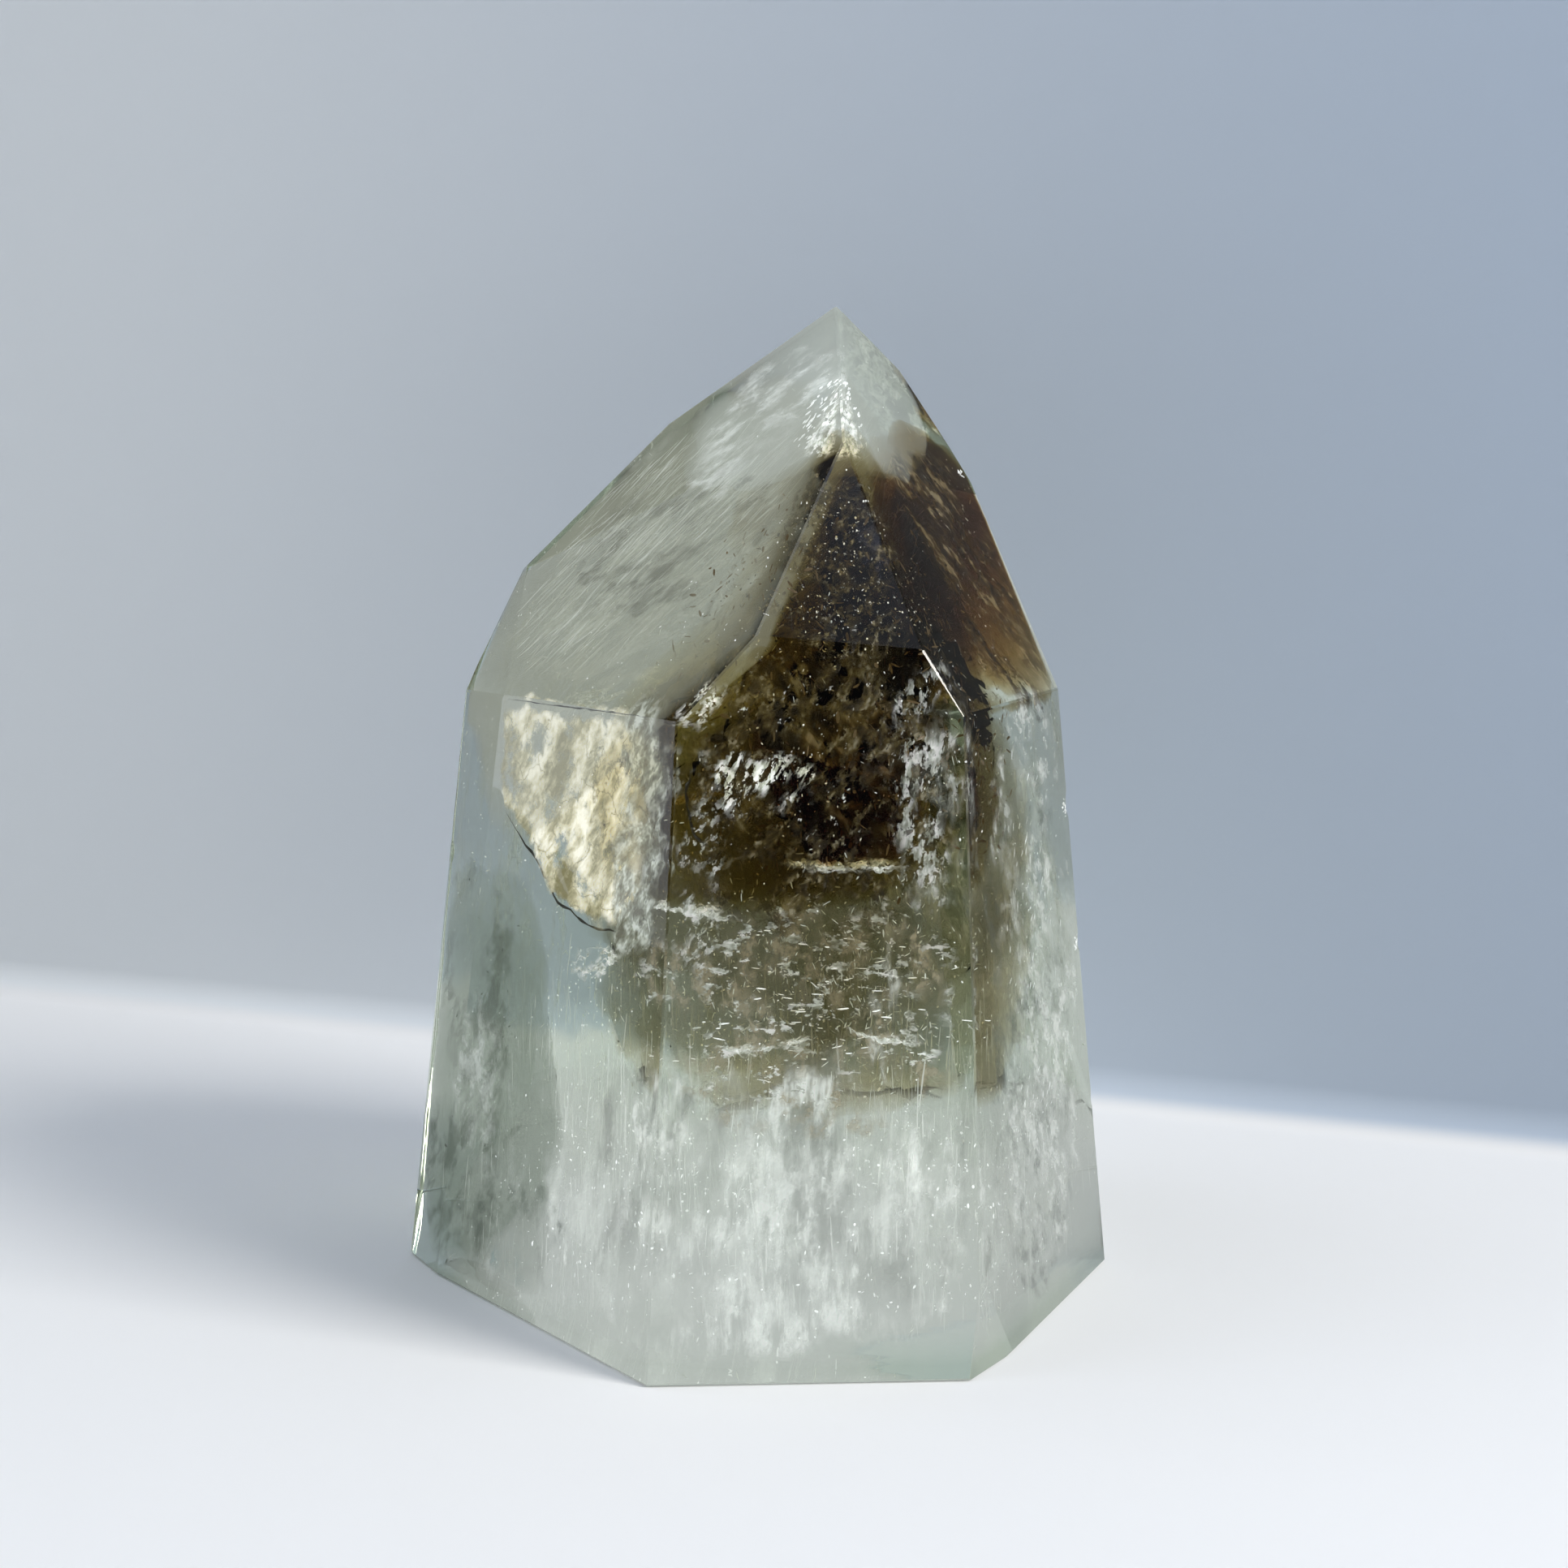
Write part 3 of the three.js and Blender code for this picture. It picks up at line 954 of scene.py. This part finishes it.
def veils():
    """Healed cracks: thin milky sheets through the crystal, which glow with painted light."""
    white = (0.90, 0.94, 0.92)
    grey = (0.62, 0.66, 0.60)
    brown = (0.42, 0.38, 0.28)
    blue = (0.30, 0.42, 0.42)
    dark = (0.07, 0.065, 0.04)
    slant = (0.2, -0.75, -0.85)
    level = (0, 0, 0)
    parts = (
        # name, centre, directions, size, colour, glow, cover, wave, longer, turn, seed
        ("veil_left_point", (-6, -1.5, 56), LEFT_FACE, (26, 20),
         grey, 0.36, 0.7, 2.0, (6, 1, 1), slant, 21),
        ("veil_left_point_deep", (-4, 3, 54), LEFT_FACE, (30, 24),
         white, 0.3, 0.7, 3.5, (4, 1, 1), slant, 42),
        ("veil_tip", (1.5, -1.5, 67.5), LEFT_FACE, (15, 16),
         white, 0.5, 0.8, 2.0, (3, 1, 1), slant, 41),
        # Two dark sheets of painted shade: along the left edge of the point's front face, and under its left
        # face.
        ("veil_shadow", (1.0, -10.2, 57.5), (LEFT_FACE[0], (6.5, 9, 15)), (3.4, 15),
         dark, 0.1, 0.85, 1.2, (1.5, 1.5, 7), (-0.54, 0.36, 0), 51),
        ("veil_shadow_upper", (-6, -3.5, 59), LEFT_FACE, (20, 16),
         dark, 0.1, 0.5, 1.5, (7, 1, 1), slant, 52),
        ("veil_base_front", (2, -18.5, 8), FRONT, (26, 17),
         white, 0.45, 0.65, 1.3, (1, 1, 5), level, 22),
        ("veil_base_middle", (0, -8, 9), ((0.95, 0.3, 0), (0.1, -0.1, 1)), (42, 19),
         white, 0.4, 0.7, 3, (1, 1, 3), level, 23),
        ("veil_base_left", (-16, -9, 9), LEFT_SIDE, (22, 18),
         white, 0.3, 0.45, 1.4, (1, 1, 3), level, 24),
        ("veil_left_cloud", (-21, -2.6, 17), LEFT_SIDE, (7, 13),
         white, 0.4, 0.8, 1.6, (1, 1, 1.5), level, 25),
        ("veil_right_side", (20.5, -8, 25), RIGHT_SIDE, (18, 46),
         white, 0.4, 0.6, 1.5, (1, 1, 2.6), (0.7, 0.5, 0), 26),
        ("veil_right_deep", (15, -2, 22), RIGHT_SIDE, (22, 40),
         grey, 0.35, 0.6, 3, (1, 1, 2.5), (0.3, 0.2, 0), 50),
        ("veil_back_left", (-14, 12, 30), ((-0.8, -0.6, 0), (0.1, -0.05, 1)), (30, 46),
         grey, 0.3, 0.6, 4, (1, 1, 2), level, 27),
        ("veil_back_right", (12, 14, 32), ((-0.9, 0.44, 0), (-0.05, -0.12, 1)), (30, 46),
         grey, 0.3, 0.6, 4, (1, 1, 2), level, 28),
        ("veil_brown", (4, -17, 25), FRONT, (22, 18),
         brown, 0.35, 0.75, 1.1, (1, 1, 1.4), level, 29),
        ("veil_column", (7.0, -20.0, 9.5), FRONT, (1.9, 16),
         white, 0.6, 0.95, 1.2, (1, 1, 4), level, 43),
        ("veil_upper_column", (9.6, -19.2, 24), (FRONT[0], (-0.12, 0.09, 1)), (3.0, 15),
         white, 0.45, 0.85, 1.0, (1, 1, 3), level, 44),
        ("veil_left_streak", (-13.4, -14.0, 8.5), FRONT, (1.5, 14),
         white, 0.7, 1.0, 1.0, (1, 1, 4), level, 45),
        ("veil_right_streak", (17.6, -13.6, 12), ((0.6, 0.8, 0), (-0.04, 0.05, 1)), (1.1, 10),
         white, 0.7, 1.0, 1.0, (1, 1, 4), level, 46),
        ("veil_right_front", (13.4, -17.6, 40), (FRONT[0], (-0.05, 0.09, 1)), (4.5, 16),
         grey, 0.3, 0.6, 0.9, (1, 1, 3), level, 47),
        # A painted reflection: a blue sheet under the right edge of the point's front face.
        ("veil_triangle_edge", (8.5, -13.9, 61.3), ((1, 0.3, 0), (3.46, -5.65, -9.5)), (2.4, 11),
         (0.34, 0.38, 0.60), 0.6, 1.0, 3.0, (1, 1, 3), (0.35, 0.3, 0), 53),
        ("veil_left_edge", (-22.5, -2.0, 17), LEFT_SIDE, (14, 34),
         (0.10, 0.13, 0.09), 0.2, 0.6, 2.2, (1, 1, 1.8), (0.3, 0.4, 0), 54),
        ("veil_left_dark", (-17.5, -9.8, 6), LEFT_SIDE, (14, 9),
         (0.09, 0.12, 0.09), 0.2, 0.8, 1.8, (1, 1, 1.4), (0.2, 0.5, 0), 56),
        ("veil_base_patches", (1, -19.4, 11), FRONT, (30, 22),
         white, 0.5, 0.85, 1.5, (1, 1, 4.5), (0.1, 0.08, 0), 57),
        ("veil_grey_bands", (2, -16.5, 12), FRONT, (30, 22),
         (0.30, 0.32, 0.30), 0.3, 0.7, 2.8, (1, 1, 4), (0, 0.05, 0), 58),
        ("veil_right_pockets", (19.5, -9.5, 22), RIGHT_SIDE, (17, 42),
         (0.16, 0.19, 0.17), 0.2, 0.6, 1.8, (1, 1, 2.6), (0.6, 0.5, 0), 59),
        ("veil_left_beige", (-15.5, -6.5, 50), LEFT_FACE, (17, 8),
         (0.40, 0.35, 0.27), 0.35, 0.6, 2.5, (3, 1, 1), slant, 55),
        ("veil_blue_green", (-18.3, -8.6, 4.2), LEFT_SIDE, (6, 5),
         blue, 0.3, 0.8, 1.2, (1, 1, 1.5), level, 48),
    )
    for name, centre, directions, size, colour, glow, cover, wave, longer, turn, seed in parts:
        veil = milky_veil(name, colour, glow, cover, wave * MM, longer, turn)
        yield oval_sheet(name, centre, directions, size, seed, VEIL_SHAPE, veil)


SMOKE_TONES = (
    (0.38, (0.010, 0.007, 0.003)),
    (0.50, (0.034, 0.024, 0.007)),
    (0.58, (0.085, 0.066, 0.022)),
    (0.70, (0.26, 0.24, 0.17)),
)
GREY_TONES = ((0.38, (0.15, 0.15, 0.11)), (0.50, (0.30, 0.32, 0.26)), (0.62, (0.66, 0.70, 0.64)))
BROWN_TONES = ((0.42, (0.012, 0.007, 0.002)), (0.56, (0.070, 0.046, 0.014)), (0.68, (0.34, 0.31, 0.22)))
PALE_TONES = ((0.40, (0.34, 0.36, 0.30)), (0.52, (0.72, 0.76, 0.72)), (0.62, (1.0, 1.0, 1.0)))


def crackled_sheets():
    """Crumpled cracks near the surface, with painted glow: dark in the smoky zone, white as painted glints.
    """
    parts = (
        # name, centre, directions, size, tones, glow, cover, wave, low, high, longer, turn, seed
        ("crackle_front", (4.5, -19.0, 42), FRONT, (19, 20),
         SMOKE_TONES, 0.7, 0.7, 1.2, 0.48, 0.53, (1, 1, 1.6), (0, 0.5, 0), 61),
        ("crackle_front_deep", (5, -16.2, 42), FRONT, (20, 22),
         SMOKE_TONES, 0.9, 0.7, 1.8, 0.46, 0.52, (1, 1, 2), (0, -0.5, 0), 62),
        ("crackle_triangle", (6.9, -14.2, 57.6), FRONT_TRIANGLE, (12, 17),
         SMOKE_TONES, 0.7, 0.7, 0.9, 0.47, 0.52, (1, 1, 1.4), (0, 0.3, 0), 63),
        ("crackle_right_facet", (16.9, -1.5, 55.8), RIGHT_FACE, (17, 24),
         BROWN_TONES, 0.6, 0.9, 1.5, 0.42, 0.48, (1, 1, 2.4), (0.3, -0.6, 0), 64),
        ("glints_triangle", (7.0, -15.2, 58.2), FRONT_TRIANGLE, (9, 14),
         PALE_TONES, 0.8, 1.0, 0.42, 0.63, 0.66, (1, 1, 1), (0, 0, 0), 65),
        ("glints_right_facet", (17.3, -2.0, 55.8), RIGHT_FACE, (15, 20),
         PALE_TONES, 0.7, 1.0, 0.6, 0.64, 0.68, (1, 1, 1.8), (0.3, -0.6, 0), 75),
        ("glints_front", (4.5, -19.6, 44), FRONT, (17, 17),
         PALE_TONES, 0.8, 1.0, 0.6, 0.655, 0.685, (1, 1, 1.6), (0, 0.5, 0), 66),
        ("feather_patch", (0.9, -19.2, 42.7), FRONT, (8, 4.8),
         PALE_TONES, 0.9, 1.0, 0.6, 0.50, 0.54, (1, 1, 2.6), (0, 0.55, 0), 67),
        ("edge_streak", (-2.0, -18.4, 49.0), SLANTED_EDGE, (1.5, 8),
         PALE_TONES, 0.9, 1.0, 0.5, 0.47, 0.52, (1, 1, 1.6), (0, 0.9, 0), 68),
        ("right_edge_feathers", (12.4, -18.4, 42), FRONT, (5.6, 18),
         PALE_TONES, 0.35, 0.75, 0.8, 0.48, 0.55, (1, 1, 2.4), (0, 0.1, 0), 69),
        ("tip_crinkle", (5.7, -6.3, 68.6), ((1, 0.1, 0), (0.12, 0.55, 1)), (4.6, 10),
         PALE_TONES, 1.1, 1.0, 0.7, 0.44, 0.48, (1, 1, 1.4), (0, 0.3, 0), 70),
        ("girdle_patch", (15.6, -7.2, 49.0), RIGHT_FACE, (7, 4),
         PALE_TONES, 0.35, 0.9, 0.8, 0.48, 0.54, (1, 1, 1.8), (0, 0, 0), 71),
        ("corner_crackle", (-7.6, -17.2, 38.5), LEFT_SIDE, (6.5, 21),
         GREY_TONES, 0.6, 0.9, 1.1, 0.30, 0.44, (1, 1, 1.8), (0, 0.6, 0), 72),
        ("corner_crackle_front", (-3.6, -19.5, 37), FRONT, (4.4, 18),
         PALE_TONES, 0.35, 0.7, 0.7, 0.50, 0.56, (1, 1, 1.8), (0, 0.6, 0), 74),
        ("crackle_low", (3.5, -18.6, 26.5), FRONT, (23, 16),
         PALE_TONES, 0.35, 0.8, 0.9, 0.545, 0.59, (2, 1, 1), (0, 0.1, 0), 73),
    )
    for name, centre, directions, size, tones, glow, cover, wave, low, high, longer, turn, seed in parts:
        finish = crackle(name, tones, glow, cover, wave * MM, low, high, longer, turn)
        yield oval_sheet(name, centre, directions, size, seed, CRACKLE_SHAPE, finish)


def level_cracks():
    """Cracks that lie nearly level, seen as bright crumpled lines that glow with painted light."""
    level_crack = crackle(
        "level_crack", PALE_TONES, 0.6, 1.0, 0.7 * MM, 0.42, 0.48, (1.6, 1, 1), (0, 0, 0),
    )
    parts = (
        # name, centre, size, tilt to the right, tilt to the front, seed
        ("crack_left", (-3.4, -17.5, 32.9), (6, 4), -0.03, -0.02, 31),
        ("crack_right", (6.6, -16, 36.0), (9, 6), -0.06, -0.04, 32),
        ("crack_low_left", (1.0, -17.5, 23.2), (8, 4), 0.06, -0.03, 33),
        ("crack_low_right", (10.0, -17.5, 23.6), (6, 4), -0.05, -0.02, 34),
        ("crack_corner", (-11, -13, 28.0), (6, 5), 0.2, 0.2, 35),
        ("crack_back", (-4, 13, 38.0), (12, 7), 0.1, -0.1, 36),
    )
    for name, centre, size, aside, front, seed in parts:
        directions = ((1, 0, aside), (0, 1, front))
        yield oval_sheet(name, centre, directions, size, seed, LEVEL_SHAPE, level_crack)


# How flakes lie: the middle and spread of their turns, and the turn of their whole cloud.
TUMBLED = ((0, 0, 0), (3.1, 3.1, 3.1), (0, 0, 0))


def flake_clouds(parts):
    """One cloud of flakes for each row, whose sizes are in millimetres."""
    for name, material, count, centre, radii, clump, gaps, least, most, (turn, spread, lie), seed in parts:
        yield scatter_flakes(
            name, material, Count=count, Centre=mm(*centre), Radii=mm(*radii), Lie=lie,
            Clump_Size=clump * MM, Gaps=gaps, Smallest=mm(*least), Largest=mm(*most),
            Turn=turn, Turn_Spread=spread, Seed=seed,
        )


def sparkles():
    """Tiny cracks, loose and in clumps, that glow with painted light: some as bright glints, some faintly."""
    bright = painted_glow_flaw("bright_fracture", (0.93, 0.96, 0.97), 0.85, 0.2)[0]
    faint = painted_glow_flaw("faint_fracture", (0.66, 0.70, 0.64), 0.40, 0.3)[0]
    brown = painted_glow_flaw("brown_fracture", (0.13, 0.09, 0.04), 0.35, 0.3)[0]
    slanted = ((1.57, -0.9, 0), (0.9, 0.4, 0.7), (0, 0.15, 0))
    level = ((1.57, 0, 0), (0.5, 0.2, 0.4), (0, 0, 0))
    feathered = ((1.57, -1.2, 0.9), (0.9, 0.4, 0.7), (0, 0, 0))
    parts = (
        # name, material, count, centre, radii, clump size, gaps, smallest, largest, turns, seed
        ("specks_all_through", bright, 3600, (0, 0, 34), (30, 28, 48), 7, 0.46, (0.05, 0.05, 0.05),
         (0.24, 0.16, 0.2), TUMBLED, 1),
        ("flecks_all_through", faint, 3600, (0, 0, 30), (30, 28, 44), 5, 0.48, (0.06, 0.05, 0.05),
         (0.8, 0.12, 0.1), TUMBLED, 15),
        ("specks_in_triangle", bright, 420, (6.6, -13.4, 57), (6, 4, 8), 2, 0.50, (0.05, 0.05, 0.05),
         (0.28, 0.16, 0.2), TUMBLED, 2),
        ("specks_in_smoke", bright, 420, (6, -16, 46), (12, 4, 15), 1.6, 0.52, (0.05, 0.05, 0.05),
         (0.28, 0.16, 0.2), TUMBLED, 16),
        ("tip_glints", bright, 160, (5.8, -4.5, 68), (1.7, 1.6, 4.6), 0.8, 0.52, (0.15, 0.08, 0.1),
         (0.8, 0.25, 0.3), slanted, 4),
        ("low_dashes", bright, 150, (4, -16.5, 26), (12, 3.5, 7), 2.0, 0.5, (0.2, 0.05, 0.05),
         (1.1, 0.12, 0.1), level, 7),
        ("crackle_in_smoke", brown, 1800, (7, -11, 48), (13, 9, 16), 1.6, 0.48, (0.15, 0.06, 0.05),
         (1.1, 0.30, 0.15), TUMBLED, 10),
        ("crackle_below", faint, 1300, (4, -15, 27), (13, 6, 10), 1.5, 0.5, (0.12, 0.05, 0.05),
         (0.7, 0.12, 0.15), TUMBLED, 11),
        ("base_glints", bright, 1500, (2, -10, 9), (24, 15, 9), 2.0, 0.5, (0.06, 0.06, 0.05),
         (0.4, 0.2, 0.2), TUMBLED, 12),
        # Painted glints at the chips of the right edge and on the point's right ridge.
        ("chip_glints_high", bright, 40, (24.3, -2.3, 38.4), (0.6, 0.8, 0.9), 0.8, 0.2, (0.1, 0.1, 0.1),
         (0.35, 0.25, 0.3), TUMBLED, 17),
        ("chip_glints_middle", bright, 34, (25.4, -1.8, 27.2), (0.6, 0.8, 0.7), 0.8, 0.2, (0.1, 0.1, 0.1),
         (0.35, 0.25, 0.3), TUMBLED, 18),
        ("ridge_glints", bright, 24, (16.5, 5.5, 64.4), (0.6, 0.7, 0.5), 0.8, 0.2, (0.1, 0.1, 0.1),
         (0.35, 0.25, 0.3), TUMBLED, 19),
        ("right_side_feathers", bright, 420, (20, -8, 28), (4, 8, 20), 2.5, 0.52, (0.1, 0.04, 0.1),
         (0.9, 0.11, 0.2), feathered, 9),
    )
    yield from flake_clouds(parts)


def dark_flecks():
    """Dark olive specks: in the smoky zone, and thinly in the left side."""
    dark = dark_fleck()
    parts = (
        # name, material, count, centre, radii, clump size, gaps, smallest, largest, turns, seed
        ("dark_specks_in_smoke", dark, 900, (6, -12, 47), (9, 6, 15), 2, 0.5, (0.08, 0.06, 0.05),
         (0.6, 0.25, 0.2), TUMBLED, 13),
        ("dark_specks_left", dark, 260, (-20, -3, 18), (6, 8, 18), 3, 0.55, (0.06, 0.05, 0.05),
         (0.4, 0.2, 0.2), TUMBLED, 14),
    )
    yield from flake_clouds(parts)
    curve = [mm(-4.4, -18.6, 43.6), mm(-4.6, -18.8, 41), mm(-4.0, -18.9, 38.8), mm(-3.0, -19.0, 37.9)]
    line = crack_line("dark_curved_crack", curve, CRACK_THICKNESS, 5.0)
    line.data.materials.append(dark)
    yield line


def wisps():
    """Hair-fine streaks of bubbles: slanted in the left of the point, upright near the base."""
    wisp = pale_wisp("pale_wisp", (0.88, 0.92, 0.89), 0.5, 0.08, 0.55)
    yield scatter_flakes(
        "wisps_left_point", wisp, Count=3000, Centre=mm(-6, 1, 57), Radii=mm(15, 9, 12),
        Clump_Size=4 * MM, Gaps=0.44, Smallest=mm(0.8, 0.04, 0.05), Largest=mm(4.5, 0.16, 0.1),
        Turn=(1.57, -0.75, 0), Turn_Spread=(0.8, 0.2, 0.3), Margin=0.8 * MM, Seed=5,
    )
    yield scatter_flakes(
        "needles_low", wisp, Count=2600, Centre=mm(0, -3, 12), Radii=mm(27, 22, 15),
        Clump_Size=5 * MM, Gaps=0.46, Smallest=mm(0.6, 0.04, 0.05), Largest=mm(4.5, 0.15, 0.1),
        Turn=(1.57, 1.57, 0), Turn_Spread=(0.8, 0.12, 0.8), Margin=0.8 * MM, Seed=6,
    )


camera()
light_paths()
sky()
window_light()
backdrop()

crystal = polished_crystal()
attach(crystal, "root")
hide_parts("crystal_tower")

FLAKE_TREE = flake_tree()
KINDS_OF_FLAW = (
    smoky_zone, milky_zone, golden_plate, veils, crackled_sheets,
    level_cracks, sparkles, dark_flecks, wisps,
)
for make in KINDS_OF_FLAW:
    for flaw in make():
        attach(flaw, "root")
